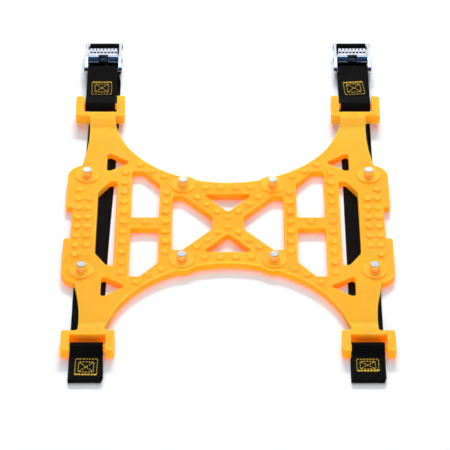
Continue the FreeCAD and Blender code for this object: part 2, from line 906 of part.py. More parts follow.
def make_band(label, side_x, start, rollers, end):
    """Length of flat webbing that follows rollers, seen from the side and padded to its width."""
    body = new_body(label)
    profile = new_sketch(body, label + "_path", "YZ_Plane")
    add_band(profile, start, rollers, end)
    extrude(body, "Pad", label + "_width", profile, "strap_width", both=True)
    place(body, side_x)


def make_strap_run(label, side_x):
    """Webbing that lies flat under the plate from the front bar to the back bar."""
    body = new_body(label)
    profile = new_sketch(body, label + "_section", "YZ_Plane")
    add_box(profile, "- run_front_y", "run_back_y", "strap_low", "strap_low + strap_thick")
    extrude(body, "Pad", label + "_width", profile, "strap_width", both=True)
    place(body, side_x)


def make_strap_front(label, side_x):
    """Front of the webbing: folded at the floor, over the front bar and back under its own fold."""
    start = ("- front_split_y", "strap_low", "strap_low + strap_thick", -1)
    rollers = [
        ("- fold_y", "fold_z", "fold_inner", -1),
        ("- front_bend_y", "front_bend_z", "bend_inner", 1),
        ("- bar_y", "bar_height", "bar_wrap", -1),
    ]
    end = ("- front_end_y", "front_end_z", "front_end_z + strap_thick", -1)
    make_band(label, side_x, start, rollers, end)


def make_buckle_strap(label, side_x):
    """Short sewn loop of webbing between the plate's back bar and the buckle."""
    start = ("loop_start_y", "sewn_low_z", "sewn_low_z + strap_thick", 1)
    rollers = [
        ("loop_bend_back_y", "loop_bend_low_z", "bend_inner", -1),
        ("crossbar_y", "crossbar_z", "bar_wrap_buckle", 1),
        ("loop_bend_back_y", "loop_bend_high_z", "bend_inner", -1),
        ("loop_bend_front_y", "loop_bend_high_z", "bend_inner", -1),
        ("back_bar_y", "back_bar_z", "bar_wrap", 1),
        ("loop_bend_front_y", "loop_bend_low_z", "bend_inner", -1),
    ]
    end = ("loop_end_y", "sewn_low_z", "sewn_low_z + strap_thick", 1)
    make_band(label, side_x, start, rollers, end)


def make_strap_link(label, side_x):
    """Webbing on the floor between the back bar and the buckle."""
    body = new_body(label)
    profile = new_sketch(body, label + "_section", "YZ_Plane")
    add_box(profile, "link_start_y", "link_end_y", "strap_low", "strap_low + strap_thick")
    extrude(body, "Pad", label + "_width", profile, "strap_width", both=True)
    place(body, side_x)


def make_strap_tail(label, side_x):
    """Free end of the webbing: under the buckle, over its far bar and back under the cam."""
    start = ("tail_start_y", "strap_low", "strap_low + strap_thick", 1)
    rollers = [
        ("tail_rise_y", "tail_rise_z", "tail_rise_inner", 1),
        ("far_bar_y", "crossbar_z", "bar_wrap_buckle", 1),
        ("tail_fall_y", "tail_fall_z", "bend_inner", -1),
    ]
    end = ("tail_end_y", "tail_end_z", "tail_end_z + strap_thick", -1)
    make_band(label, side_x, start, rollers, end)


def make_sewn_cross(label, side_x, y, z):
    """Stitching that holds two layers of webbing: a square in a square, with crossed diagonals."""
    body = new_body(label)
    yz_plane = origin_feature(body, "YZ_Plane")
    bar = new_sketch(body, label + "_diagonal", "XY_Plane")
    add_loop(bar, [
        ("- sewn_half", "- sewn_half"),
        ("- sewn_half + sewn_line", "- sewn_half"),
        ("sewn_half", "sewn_half - sewn_line"),
        ("sewn_half", "sewn_half"),
        ("sewn_half - sewn_line", "sewn_half"),
        ("- sewn_half", "- sewn_half + sewn_line"),
    ])
    pad = extrude(body, "Pad", label + "_diagonal_pad", bar, "sewn_high")
    repeat(body, label + "_diagonals", pad, [("Mirrored", yz_plane, None)])
    squares = new_sketch(body, label + "_squares", "XY_Plane")
    for edge in ("sewn_half", "sewn_inner_half"):
        add_box(squares, "- " + edge, edge, "- " + edge, edge)
        inner = edge + " - sewn_line"
        outer = "- " + edge + " + sewn_line"
        add_box(squares, outer, inner, outer, inner)
    extrude(body, "Pad", label + "_squares_pad", squares, "sewn_high")
    place(body, side_x, y, z)


def make_buckle_frame(label, side_x):
    """Bent sheet frame: two ears and a base under the cam."""
    body = new_body(label)
    ears = new_sketch(body, label + "_ears", "YZ_Plane")
    add_hull(ears, [
        ("ear_foot_front_y", "ear_foot_z", "ear_foot_radius"),
        ("ear_foot_back_y", "ear_foot_z", "ear_foot_radius"),
        ("far_bar_y", "crossbar_z", "ear_end_radius"),
        ("axle_y", "axle_z", "ear_hump_radius"),
        ("crossbar_y", "crossbar_z", "ear_end_radius"),
    ])
    extrude(body, "Pad", label + "_ears_pad", ears, "buckle_half + buckle_half", both=True)
    gap = new_sketch(body, label + "_gap", "XZ_Plane")
    add_box(gap, "- buckle_inner", "buckle_inner", "base_top", "buckle_clear_z")
    extrude(body, "Pocket", label + "_gap_cut", gap)
    openings = new_sketch(body, label + "_openings", "XY_Plane")
    add_box(openings, "- buckle_inner", "buckle_inner", "base_clear_front_y", "base_front_y")
    add_box(openings, "- buckle_inner", "buckle_inner", "base_back_y", "base_clear_y")
    extrude(body, "Pocket", label + "_openings_cut", openings)
    bores = new_sketch(body, label + "_bores", "YZ_Plane")
    add_circle(bores, "crossbar_y", "crossbar_z", "crossbar_radius")
    add_circle(bores, "far_bar_y", "crossbar_z", "crossbar_radius")
    add_circle(bores, "axle_y", "axle_z", "axle_radius")
    extrude(body, "Pocket", label + "_bores_cut", bores)
    place(body, side_x)


def make_pin(label, side_x, y, z, radius, head):
    """Pin across the buckle with a rivet head outside each ear."""
    body = new_body(label)
    profile = new_sketch(body, label + "_profile", "XZ_Plane")
    end = "buckle_half + rivet_high"
    add_loop(profile, [
        ("- " + end.replace("+", "-"), None),
        (end, None),
        (end, head),
        ("buckle_half", head),
        ("buckle_half", radius),
        ("- buckle_half", radius),
        ("- buckle_half", head),
        ("- " + end.replace("+", "-"), head),
    ])
    spin(body, label + "_turned", profile, "H_Axis")
    place(body, side_x, y, z)


def make_lever(label, side_x):
    """Cam lever: toothed barrel on the axle, notched and hollowed for the spring, with a ribbed thumb plate."""
    body = new_body(label)
    x_axis = origin_feature(body, "X_Axis")
    barrel = new_sketch(body, label + "_barrel", "YZ_Plane")
    add_circle(barrel, None, None, "barrel_radius")
    extrude(body, "Pad", label + "_barrel_pad", barrel, "lever_half + lever_half", both=True)
    thumb = new_sketch(body, label + "_thumb", "YZ_Plane")
    add_loop(thumb, [
        (None, "thumb_low"),
        ("thumb_end", "thumb_low"),
        ("lip_end", "barrel_radius"),
        ("lip_end", "lip_high"),
        ("thumb_end", "barrel_radius"),
        (None, "barrel_radius"),
    ])
    extrude(body, "Pad", label + "_thumb_pad", thumb, "thumb_half + thumb_half", both=True)
    tooth = new_sketch(body, label + "_tooth", "YZ_Plane")
    add_circle(tooth, None, "- barrel_radius", "tooth_cut_radius")
    cut = extrude(body, "Pocket", label + "_tooth_cut", tooth)
    repeat(body, label + "_teeth", cut, [("PolarPattern", x_axis, ("tooth_arc", TOOTH_COUNT, False))])
    slot = new_sketch(body, label + "_slot", "XY_Plane")
    add_box(slot, "- slot_half", "slot_half", "- slot_front", "slot_back")
    extrude(body, "Pocket", label + "_slot_cut", slot)
    room = new_sketch(body, label + "_coil_room", "YZ_Plane")
    add_circle(room, None, None, "coil_room")
    extrude(body, "Pocket", label + "_coil_room_cut", room, "slot_half + slot_half", both=True)
    bore = new_sketch(body, label + "_bore", "YZ_Plane")
    add_circle(bore, None, None, "lever_bore")
    extrude(body, "Pocket", label + "_bore_cut", bore)
    rib = new_sketch(body, label + "_rib", "XY_Plane", "barrel_radius")
    add_box(rib, "- rib_first_x - rib_half", "- rib_first_x + rib_half", "rib_low_y", "rib_high_y")
    pad = extrude(body, "Pad", label + "_rib_pad", rib, "rib_high")
    repeat(body, label + "_ribs", pad, [("LinearPattern", x_axis, ("rib_span", RIB_COUNT, False))])
    place(body, side_x, "axle_y", "axle_z")


def make_spring(label, side_x):
    """Torsion spring round the axle, one leg up behind the thumb plate and one leg forwards."""
    body = new_body(label)
    wire = new_sketch(body, label + "_wire", "XY_Plane")
    add_circle(wire, "- coil_start", "coil_radius", "wire_radius")
    settle(wire)
    coil = body.newObject("PartDesign::AdditiveHelix", label + "_coil")
    coil.Profile = wire
    coil.ReferenceAxis = (wire, ["H_Axis"])
    coil.Mode = "pitch-turns-angle"
    coil.Pitch = size("coil_pitch")
    coil.Turns = size("coil_turns")
    bind(coil, "Pitch", "coil_pitch")
    bind(coil, "Turns", "coil_turns")
    coil.LeftHanded = True
    body.Tip = coil
    doc.recompute()
    leg = new_sketch(body, label + "_leg_up", "XY_Plane")
    add_circle(leg, "- coil_start", "coil_radius", "wire_radius")
    extrude(body, "Pad", label + "_leg_up_pad", leg, "leg_up")
    leg = new_sketch(body, label + "_leg_forward", "XZ_Plane")
    add_circle(leg, "coil_end", "- coil_radius", "wire_radius")
    extrude(body, "Pad", label + "_leg_forward_pad", leg, "leg_forward")
    place(body, side_x, "axle_y", "axle_z")


make_plate()

for name, across, along in (
    ("stud_inner", "stud_inner_x", "stud_inner_y"),
    ("stud_outer", "stud_outer_x", "stud_outer_y"),
):
    make_stud(name + "_back_right", across, along)
    make_stud(name + "_front_right", across, "- " + along)
    make_stud(name + "_back_left", "- " + across, along)
    make_stud(name + "_front_left", "- " + across, "- " + along)

for side, side_x in (("left", "- strap_x"), ("right", "strap_x")):
    make_strap_run("strap_run_" + side, side_x)
    make_strap_front("strap_front_" + side, side_x)
    make_sewn_cross("stitch_front_" + side, side_x, "- sewn_front_y", "sewn_front_z")
    make_buckle_strap("buckle_strap_" + side, side_x)
    make_sewn_cross("stitch_back_" + side, side_x, "sewn_back_y", "sewn_back_z")
    make_strap_link("strap_link_" + side, side_x)
    make_strap_tail("strap_tail_" + side, side_x)
    make_buckle_frame("buckle_frame_" + side, side_x)
    crossbar = ("crossbar_y", "crossbar_z", "crossbar_radius", "rivet_radius")
    far_bar = ("far_bar_y", "crossbar_z", "crossbar_radius", "rivet_radius")
    axle = ("axle_y", "axle_z", "axle_radius", "axle_rivet_radius")
    make_pin("buckle_crossbar_" + side, side_x, *crossbar)
    make_pin("buckle_far_bar_" + side, side_x, *far_bar)
    make_pin("buckle_axle_" + side, side_x, *axle)
    make_lever("cam_lever_" + side, side_x)
    make_spring("cam_spring_" + side, side_x)

doc.recompute()
for item in doc.Objects:
    for state in ("Invalid", "Error"):
        if state in item.State:
            raise RuntimeError("%s is %s" % (item.Name, item.State))
for piece in pieces:
    shape = piece.Shape
    if shape.isNull() or not shape.isValid() or len(shape.Solids) != 1:
        raise RuntimeError("%s has no single valid solid" % piece.Label)
for piece in pieces:
    box = piece.Shape.BoundBox
    print("%-28s %9.1f mm3" % (piece.Label, piece.Shape.Volume), end="")
    print("  Y %7.2f %7.2f  Z %6.2f %6.2f" % (box.YMin, box.YMax, box.ZMin, box.ZMax))
    piece.Shape.exportStep("parts/" + piece.Label + ".step")
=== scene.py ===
import math
import random

import bmesh
import bpy
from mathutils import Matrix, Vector


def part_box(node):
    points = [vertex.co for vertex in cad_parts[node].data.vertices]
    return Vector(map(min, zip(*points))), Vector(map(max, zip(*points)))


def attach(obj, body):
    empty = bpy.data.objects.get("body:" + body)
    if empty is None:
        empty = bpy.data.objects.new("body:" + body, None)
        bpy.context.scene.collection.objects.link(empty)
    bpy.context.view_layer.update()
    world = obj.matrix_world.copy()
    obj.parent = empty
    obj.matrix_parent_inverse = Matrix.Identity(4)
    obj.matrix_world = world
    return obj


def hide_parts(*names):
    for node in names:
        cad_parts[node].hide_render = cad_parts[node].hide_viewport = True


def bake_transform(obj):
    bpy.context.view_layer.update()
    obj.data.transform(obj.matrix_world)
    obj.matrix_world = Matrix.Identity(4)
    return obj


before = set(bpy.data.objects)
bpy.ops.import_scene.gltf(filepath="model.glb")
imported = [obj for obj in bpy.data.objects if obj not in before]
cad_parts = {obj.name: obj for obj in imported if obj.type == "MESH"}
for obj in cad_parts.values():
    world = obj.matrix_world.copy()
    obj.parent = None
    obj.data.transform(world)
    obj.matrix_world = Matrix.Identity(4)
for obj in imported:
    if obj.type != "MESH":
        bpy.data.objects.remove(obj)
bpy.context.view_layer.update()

# The plate, studs, buckle frames, levers, springs and pins are the CAD's own solids with new materials. The
# webbing and its stitching are modelled here, in the places of the plain CAD solids that they replace.

# Sizes of the webbing and stitching are in millimetres, in the part's own frame, and become metres in the
# meshes. Sizes in the materials, floor and lights are in metres.
MM = 0.001
SIDES = ("left", "right")


def middle(node):
    """Centre of a CAD node's box, in millimetres."""
    low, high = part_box(node)
    return (low + high) / (2 * MM)


def ends(node):
    """Lowest and highest corners of a CAD node's box, in millimetres."""
    low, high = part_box(node)
    return low / MM, high / MM


# ---------------------------------------------------------------------------
# Materials
# ---------------------------------------------------------------------------

BEVEL_SAMPLES = 4
HIDING_SAMPLES = 8
PLASTIC_IOR = 1.45

# Amber elastomer. Each range holds two readings that a share of colour runs between: how open the surface is,
# widely and close by in a crease, how high it lies, how nearly its rounded normal is the true one, which it
# isn't along an edge, and how far it faces up. These shares paint light and shade into the colour: shade in
# recesses, in creases and on the sides, a highlight on raised parts and along edges, and a glow in recesses.
AMBER_FACE_DARK = (0.98, 0.40, 0.026, 1)
AMBER_FACE_LIGHT = (1.0, 0.44, 0.036, 1)
# The colours below are painted light: a highlight on raised parts, shade on the sides, a highlight along
# edges, shade in creases and deep recesses, and an orange glow.
AMBER_RAISED_HIGHLIGHT = (1.0, 0.465, 0.045, 1)
AMBER_SIDE_SHADE = (1.0, 0.37, 0.018, 1)
AMBER_RIM_HIGHLIGHT = (1.0, 0.66, 0.12, 1)
AMBER_CREASE_SHADE = (1.0, 0.27, 0.004, 1)
AMBER_DEEP_SHADE = (1.0, 0.22, 0.0, 1)
AMBER_GLOW = (1.0, 0.2, 0.0, 1)
AMBER_GLOW_POWER = 0.7
AMBER_SCATTER = (1.0, 0.35, 0.04)
AMBER_SCATTER_DEPTH = 0.009
OPEN_REACH = 0.009
OPEN_RANGE = (0.2, 0.75)
RAISED_RANGE = (0.0062, 0.0071)
CREASE_REACH = 0.0016
CREASE_RANGE = (0.6, 0.97)
CREASE_MOST = 0.75
RIM_RADIUS = 0.0014
RIM_RANGE = (0.85, 0.998)
UPWARD_RANGE = (0.0, 0.75)
AMBER_ROUND = 0.0005
AMBER_TONE_RANGE = (0.35, 0.65)
AMBER_ROUGH = (0.5, 0.62)

# Black webbing. The map that its weave follows is in millimetres, and the mesh's ribs share its pitch.
RIB_PITCH = 2.4
WEB_COLUMN = 1.15
WEB_TWIST = 0.42
WEB_FIBRE = 0.18
WEB_WARP_POWER = 0.6
WEB_FLOAT_POWER = 0.7
WEB_DARK = (0.0065, 0.0061, 0.0058, 1)
WEB_LIGHT = (0.0125, 0.0118, 0.0112, 1)
# Painted shade in the hollows of the weave.
WEB_GAP_SHADE = (0.0018, 0.0016, 0.0016, 1)
WEB_WEAR_RANGE = (0.4, 0.7)
WEB_RIDGE_RANGE = (-0.6, 0.8)
WEB_RIDGE_LEAST = 0.15
WEB_ROUGH = (0.85, 0.55)
SEALED_DARK = (0.003, 0.003, 0.003, 1)
SEALED_LIGHT = (0.012, 0.011, 0.011, 1)

THREAD_DARK = (0.9, 0.52, 0.02, 1)
THREAD_LIGHT = (1.0, 0.76, 0.09, 1)

# Metals. The height where a stud's yellow stem gives way to its bright head is in metres.
METAL_BUMP = 0.00001
METAL_BUMP_SHARE = 0.35
METAL_DETAIL = 4.0
HEAD_RANGE = (0.0106, 0.0112)
HEAD_DARK = (0.80, 0.81, 0.83, 1)
HEAD_LIGHT = (0.93, 0.94, 0.95, 1)
STEM_DARK = (0.95, 0.58, 0.13, 1)
STEM_LIGHT = (1.0, 0.70, 0.22, 1)
STEM_METALLIC = 0.55
STUD_ROUGH = (0.16, 0.30)
STUD_ROUND = 0.0002

# The middle of what a noise node gives, which finishes vary over.
MARK_RANGE = (0.3, 0.7)


class Nodes:
    """A material whose nodes are added one call at a time."""

    def __init__(self, name):
        self.material = bpy.data.materials.new(name)
        self.material.use_nodes = True
        self.tree = self.material.node_tree
        self.tree.nodes.clear()
        self.shader = self.add("ShaderNodeBsdfPrincipled")
        out = self.add("ShaderNodeOutputMaterial")
        self.link(self.shader.outputs["BSDF"], out.inputs["Surface"])

    def add(self, kind, **settings):
        node = self.tree.nodes.new(kind)
        for key, value in settings.items():
            setattr(node, key, value)
        return node

    def link(self, source, target):
        self.tree.links.new(source, target)

    def feed(self, target, value):
        """Link a socket to a socket, or set a socket to a number or colour."""
        if isinstance(value, bpy.types.NodeSocket):
            self.link(value, target)
        else:
            target.default_value = value

    def math(self, operation, first, second=None):
        node = self.add("ShaderNodeMath", operation=operation)
        self.feed(node.inputs[0], first)
        if second is not None:
            self.feed(node.inputs[1], second)
        return node.outputs[0]

    def wave(self, value):
        """Rounded ridges, one for each whole step of the value."""
        turned = self.math("MULTIPLY", value, math.pi)
        return self.math("ABSOLUTE", self.math("SINE", turned))

    def mix(self, share, first, second):
        """Colour between first and second."""
        node = self.add("ShaderNodeMix", data_type="RGBA")
        self.feed(node.inputs["Factor"], share)
        self.feed(node.inputs["A"], first)
        self.feed(node.inputs["B"], second)
        return node.outputs["Result"]

    def span(self, value, source, target=(0.0, 1.0)):
        """Value moved from one range to another and kept inside it."""
        node = self.add("ShaderNodeMapRange")
        for socket, number in zip(node.inputs, (value,) + source + target):
            self.feed(socket, number)
        return node.outputs[0]

    def place(self, scale=(1, 1, 1)):
        """Object coordinates, scaled."""
        coordinates = self.add("ShaderNodeTexCoord")
        mapping = self.add("ShaderNodeMapping")
        mapping.inputs["Scale"].default_value = scale
        self.link(coordinates.outputs["Object"], mapping.inputs["Vector"])
        return mapping.outputs[0]

    def split(self, vector):
        """The three numbers of a vector."""
        node = self.add("ShaderNodeSeparateXYZ")
        self.link(vector, node.inputs[0])
        return node.outputs

    def noise(self, scale, detail=3.0, where=None):
        node = self.add("ShaderNodeTexNoise")
        node.inputs["Scale"].default_value = scale
        node.inputs["Detail"].default_value = detail
        self.link(where or self.place(), node.inputs["Vector"])
        return node.outputs[0]

    def openness(self, reach):
        """How open the surface is to whatever lies within reach: 1 on a free face, less in a corner."""
        node = self.add("ShaderNodeAmbientOcclusion", samples=HIDING_SAMPLES)
        node.inputs["Distance"].default_value = reach
        return node.outputs["AO"]

    def bump(self, height, distance, strength, normal=None):
        node = self.add("ShaderNodeBump")
        node.inputs["Distance"].default_value = distance
        node.inputs["Strength"].default_value = strength
        self.link(height, node.inputs["Height"])
        if normal:
            self.link(normal, node.inputs["Normal"])
        self.feed(self.shader.inputs["Normal"], node.outputs[0])

    def bevel(self, radius):
        """Normal of the surface with its edges rounded."""
        node = self.add("ShaderNodeBevel", samples=BEVEL_SAMPLES)
        node.inputs["Radius"].default_value = radius
        return node.outputs[0]

    def set(self, **values):
        """Feed the shader's own sockets, named with _ in place of a space."""
        for name, value in values.items():
            self.feed(self.shader.inputs[name.replace("_", " ")], value)


def make_amber():
    """Moulded elastomer: warm amber, painted deeper orange as shade where walls face each other, with painted
    highlights along its edges.
    """
    made = Nodes("amber_elastomer")
    open_share = made.span(made.openness(OPEN_REACH), OPEN_RANGE)

    tone = made.span(made.noise(scale=9.0, detail=2.0), AMBER_TONE_RANGE)
    face = made.mix(tone, AMBER_FACE_DARK, AMBER_FACE_LIGHT)
    # Painted highlight: parts raised above the plate's top are paler.
    raised_highlight_share = made.span(made.split(made.place())[2], RAISED_RANGE)
    face = made.mix(raised_highlight_share, face, AMBER_RAISED_HIGHLIGHT)

    rounded = made.bevel(RIM_RADIUS)
    # Painted shade: faces turned away from up, the sides, are deeper orange.
    up_unshaded_share = made.span(made.split(rounded)[2], UPWARD_RANGE)
    shaded_sides = made.mix(up_unshaded_share, AMBER_SIDE_SHADE, face)

    # Painted highlight: a paler line along open edges, where the rounded normal leaves the true one.
    facing = made.add("ShaderNodeNewGeometry").outputs["Normal"]
    turned = made.add("ShaderNodeVectorMath", operation="DOT_PRODUCT")
    made.link(rounded, turned.inputs[0])
    made.link(facing, turned.inputs[1])
    edge_highlight_share = made.span(turned.outputs["Value"], RIM_RANGE, (1.0, 0.0))
    highlighted_rims = made.mix(made.math("MULTIPLY", edge_highlight_share, open_share), shaded_sides, AMBER_RIM_HIGHLIGHT)

    # Painted shade: tight creases are deeper orange.
    crease_shade_share = made.span(made.openness(CREASE_REACH), CREASE_RANGE, (CREASE_MOST, 0.0))
    crease_shaded = made.mix(crease_shade_share, highlighted_rims, AMBER_CREASE_SHADE)

    # Painted shade: where the surface is little open, deep in recesses, it turns deep orange.
    made.set(Base_Color=made.mix(open_share, AMBER_DEEP_SHADE, crease_shaded))
    made.set(Subsurface_Weight=1.0, Subsurface_Radius=AMBER_SCATTER, Subsurface_Scale=AMBER_SCATTER_DEPTH)
    # Painted glow: the same recesses give off orange light, though no lamp is there.
    glow = made.span(open_share, (0.0, 1.0), (AMBER_GLOW_POWER, 0.0))
    made.set(Emission_Color=AMBER_GLOW, Emission_Strength=glow)
    rough = made.span(made.noise(scale=160.0, detail=2.0), MARK_RANGE, AMBER_ROUGH)
    made.set(Roughness=rough, IOR=PLASTIC_IOR, Specular_IOR_Level=0.1)
    grain = made.noise(scale=1400.0, detail=2.0)
    made.bump(grain, distance=0.00006, strength=0.5, normal=made.bevel(AMBER_ROUND))
    return made.material


def make_webbing():
    """Black nylon webbing. Its map runs across in U and along in V, both in millimetres."""
    made = Nodes("black_webbing")
    weave = made.add("ShaderNodeUVMap", uv_map="weave")
    across, along, _ = made.split(weave.outputs[0])

    # Columns of warp yarn, each half a rib further on than the one beside it.
    column = made.math("DIVIDE", across, WEB_COLUMN)
    shift = made.math("MULTIPLY", made.math("FLOOR", column), 0.5)
    row = made.math("ADD", made.math("DIVIDE", along, RIB_PITCH), shift)
    warp = made.math("POWER", made.wave(column), WEB_WARP_POWER)
    float_over = made.math("POWER", made.wave(row), WEB_FLOAT_POWER)
    yarn = made.math("MULTIPLY", warp, float_over)

    # Fibres that twist along each yarn.
    twist = made.math("MULTIPLY", made.math("ADD", across, along), 2 * math.pi / WEB_TWIST)
    fibre = made.math("MULTIPLY", made.math("SINE", twist), WEB_FIBRE)
    height = made.math("ADD", yarn, fibre)

    worn = made.span(made.noise(scale=60.0), WEB_WEAR_RANGE)
    face = made.mix(worn, WEB_DARK, WEB_LIGHT)
    # Painted shade: the hollows between yarns and between ribs are darker.
    rib = made.math("SINE", made.math("MULTIPLY", along, 2 * math.pi / RIB_PITCH))
    ridge = made.math("MULTIPLY", yarn, made.span(rib, WEB_RIDGE_RANGE, (WEB_RIDGE_LEAST, 1.0)))
    made.set(Base_Color=made.mix(ridge, WEB_GAP_SHADE, face))
    rough = made.span(yarn, (0.0, 1.0), WEB_ROUGH)
    made.set(Roughness=rough, IOR=PLASTIC_IOR, Specular_IOR_Level=0.09)
    made.set(Sheen_Weight=0.01, Sheen_Roughness=0.5)
    made.bump(height, distance=0.00018, strength=0.8)
    return made.material


def make_sealed_end():
    """Melted end of the webbing."""
    made = Nodes("sealed_webbing")
    made.set(Base_Color=made.mix(made.noise(scale=900.0), SEALED_DARK, SEALED_LIGHT))
    made.set(Roughness=0.42)
    made.bump(made.noise(scale=1500.0), distance=0.0001, strength=0.8)
    return made.material


def make_thread():
    """Gold polyester sewing thread with a twisted ply."""
    made = Nodes("gold_thread")
    fibres = made.add("ShaderNodeTexWave", bands_direction="DIAGONAL")
    fibres.inputs["Scale"].default_value = 1600.0
    made.link(made.place(), fibres.inputs["Vector"])
    made.set(Base_Color=made.mix(made.noise(scale=500.0), THREAD_DARK, THREAD_LIGHT))
    made.set(Roughness=0.45, Sheen_Weight=0.1, Sheen_Roughness=0.4)
    made.bump(fibres.outputs["Fac"], distance=0.00005, strength=0.6)
    return made.material


def make_metal(name, dark, light, rough, edge, stretch, scale):
    """Metal with a mottled finish. stretch draws the mottle out into brush or turning marks."""
    made = Nodes(name)
    marks = made.noise(scale, METAL_DETAIL, made.place(stretch))
    made.set(Base_Color=made.mix(marks, dark, light), Metallic=1.0)
    made.set(Roughness=made.span(marks, MARK_RANGE, rough))
    made.bump(marks, METAL_BUMP, METAL_BUMP_SHARE, made.bevel(edge))
    return made.material


def make_stud_metal():
    """Bright steel head on a yellow stem."""
    made = Nodes("bright_steel")
    marks = made.noise(scale=700.0, detail=METAL_DETAIL)
    head_share = made.span(made.split(made.place())[2], HEAD_RANGE)
    head = made.mix(marks, HEAD_DARK, HEAD_LIGHT)
    stem = made.mix(marks, STEM_DARK, STEM_LIGHT)
    metallic = made.span(head_share, (0.0, 1.0), (STEM_METALLIC, 1.0))
    made.set(Base_Color=made.mix(head_share, stem, head), Metallic=metallic)
    made.set(Roughness=made.span(marks, MARK_RANGE, STUD_ROUGH))
    made.bump(marks, METAL_BUMP, METAL_BUMP_SHARE, made.bevel(STUD_ROUND))
    return made.material


AMBER = make_amber()
WEBBING = make_webbing()
SEALED = make_sealed_end()
THREAD = make_thread()
STUD = make_stud_metal()
CHROME = make_metal(
    "nickel_plate",
    dark=(0.60, 0.64, 0.70, 1),
    light=(0.74, 0.78, 0.84, 1),
    rough=(0.06, 0.16),
    edge=0.0003,
    stretch=(0.25, 1, 1),
    scale=120.0,
)
PIN = make_metal(
    "zinc_pin",
    dark=(0.50, 0.51, 0.53, 1),
    light=(0.68, 0.69, 0.71, 1),
    rough=(0.2, 0.36),
    edge=0.0002,
    stretch=(0.2, 1, 1),
    scale=500.0,
)
WIRE = make_metal(
    "spring_wire",
    dark=(0.78, 0.79, 0.81, 1),
    light=(0.93, 0.94, 0.95, 1),
    rough=(0.3, 0.42),
    edge=0.0001,
    stretch=(1, 1, 1),
    scale=900.0,
)

# Materials of the CAD nodes that stay, by how their names start.
CARRIED = (
    ("plate", AMBER),
    ("stud_", STUD),
    ("buckle_frame_", CHROME),
    ("cam_lever_", CHROME),
    ("cam_spring_", WIRE),
    ("buckle_crossbar_", PIN),
    ("buckle_far_bar_", PIN),
    ("buckle_axle_", PIN),
)
for name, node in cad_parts.items():
    for start, material in CARRIED:
        if name.startswith(start):
            node.data.materials.clear()
            node.data.materials.append(material)


# ---------------------------------------------------------------------------
# Webbing
# ---------------------------------------------------------------------------

THICK = 1.3
WIDTH = 25.4
BEND = 5.0
STEP = 0.4

# Cross-section: columns of its flat faces, how far its edges are rounded, and the shape of the rounding.
COLUMNS = 12
EDGE_ROUND = 0.5
EDGE_IN = 0.1
EDGE_DOWN = 0.22

# Ribs: two rise across the flat faces in each pitch, lower along the rounded edges, and each edge is drawn in
# once in each pitch.
RIB_HIGH = 0.09
RIB_EDGE_SHARE = 0.3
RIB_WIDE = 0.14


def heading_between(first, second):
    """Points where a straight run leaves one roller and meets the next.

    A roller is ((y, z), radius), and its radius is negative where the strap turns clockwise round it, seen
    with Y to the right and Z up.
    """
    gap = Vector(second[0]) - Vector(first[0])
    angle = math.atan2(gap.y, gap.x) - math.asin((second[1] - first[1]) / gap.length)
    left = Vector((-math.sin(angle), math.cos(angle)))
    return Vector(first[0]) - left * first[1], Vector(second[0]) - left * second[1]


def route(start, rollers, end):
    """Centreline of a strap that runs from start to end round rollers of (y, z, inner radius, turn)."""
    stops = [(start, 0.0)]
    for y, z, inner, turn in rollers:
        stops.append(((y, z), turn * (inner + THICK / 2)))
    stops.append((end, 0.0))
    runs = [heading_between(stops[i], stops[i + 1]) for i in range(len(stops) - 1)]
    corners = [runs[0][0]]
    for index, (_, arrive) in enumerate(runs):
        corners.append(arrive)
        if index + 1 == len(runs):
            break
        following_leave = runs[index + 1][0]
        centre = Vector(stops[index + 1][0])
        radius = stops[index + 1][1]
        turn = 1 if radius > 0 else -1
        first = arrive - centre
        last = following_leave - centre
        first_angle = math.atan2(first.y, first.x)
        swept = (math.atan2(last.y, last.x) - first_angle) * turn % (2 * math.pi)
        count = max(2, int(swept * abs(radius) / STEP))
        for part in range(1, count):
            angle = first_angle + turn * swept * part / count
            corners.append(centre + Vector((math.cos(angle), math.sin(angle))) * abs(radius))
        corners.append(following_leave)
    return resample(corners)


def resample(corners):
    """The same line with points a fixed step apart, each with its distance from the start."""
    lengths = [0.0]
    for a, b in zip(corners, corners[1:]):
        lengths.append(lengths[-1] + (b - a).length)
    count = int(lengths[-1] / STEP)
    points = []
    piece = 0
    for index in range(count + 1):
        target = lengths[-1] * index / count
        while piece < len(lengths) - 2 and lengths[piece + 1] < target:
            piece += 1
        span = lengths[piece + 1] - lengths[piece]
        share = (target - lengths[piece]) / span if span > 0 else 0.0
        points.append((corners[piece].lerp(corners[piece + 1], share), target))
    return points


def section():
    """Cross-section with rounded edges, as points (across, up) going once round."""
    half = WIDTH / 2
    flat = half - EDGE_ROUND
    top = []
    for index in range(COLUMNS + 1):
        across = flat - 2 * flat * index / COLUMNS
        top.append((across, THICK / 2))
    left = [
        (-half + EDGE_IN, THICK / 2 - EDGE_DOWN),
        (-half, 0.0),
        (-half + EDGE_IN, -THICK / 2 + EDGE_DOWN),
    ]
    bottom = [(-across, -up) for across, up in top]
    right = [(-across, -up) for across, up in left]
    return top + left + bottom + right


SECTION = section()


def skew(run, drift):
    """Sideways drift of the strap at a distance along it: a sum of smooth steps of (low, high, amount)."""
    total = 0.0
    for low, high, amount in drift:
        share = min(max((run - low) / (high - low), 0.0), 1.0)
        total += amount * share * share * (3 - 2 * share)
    return total


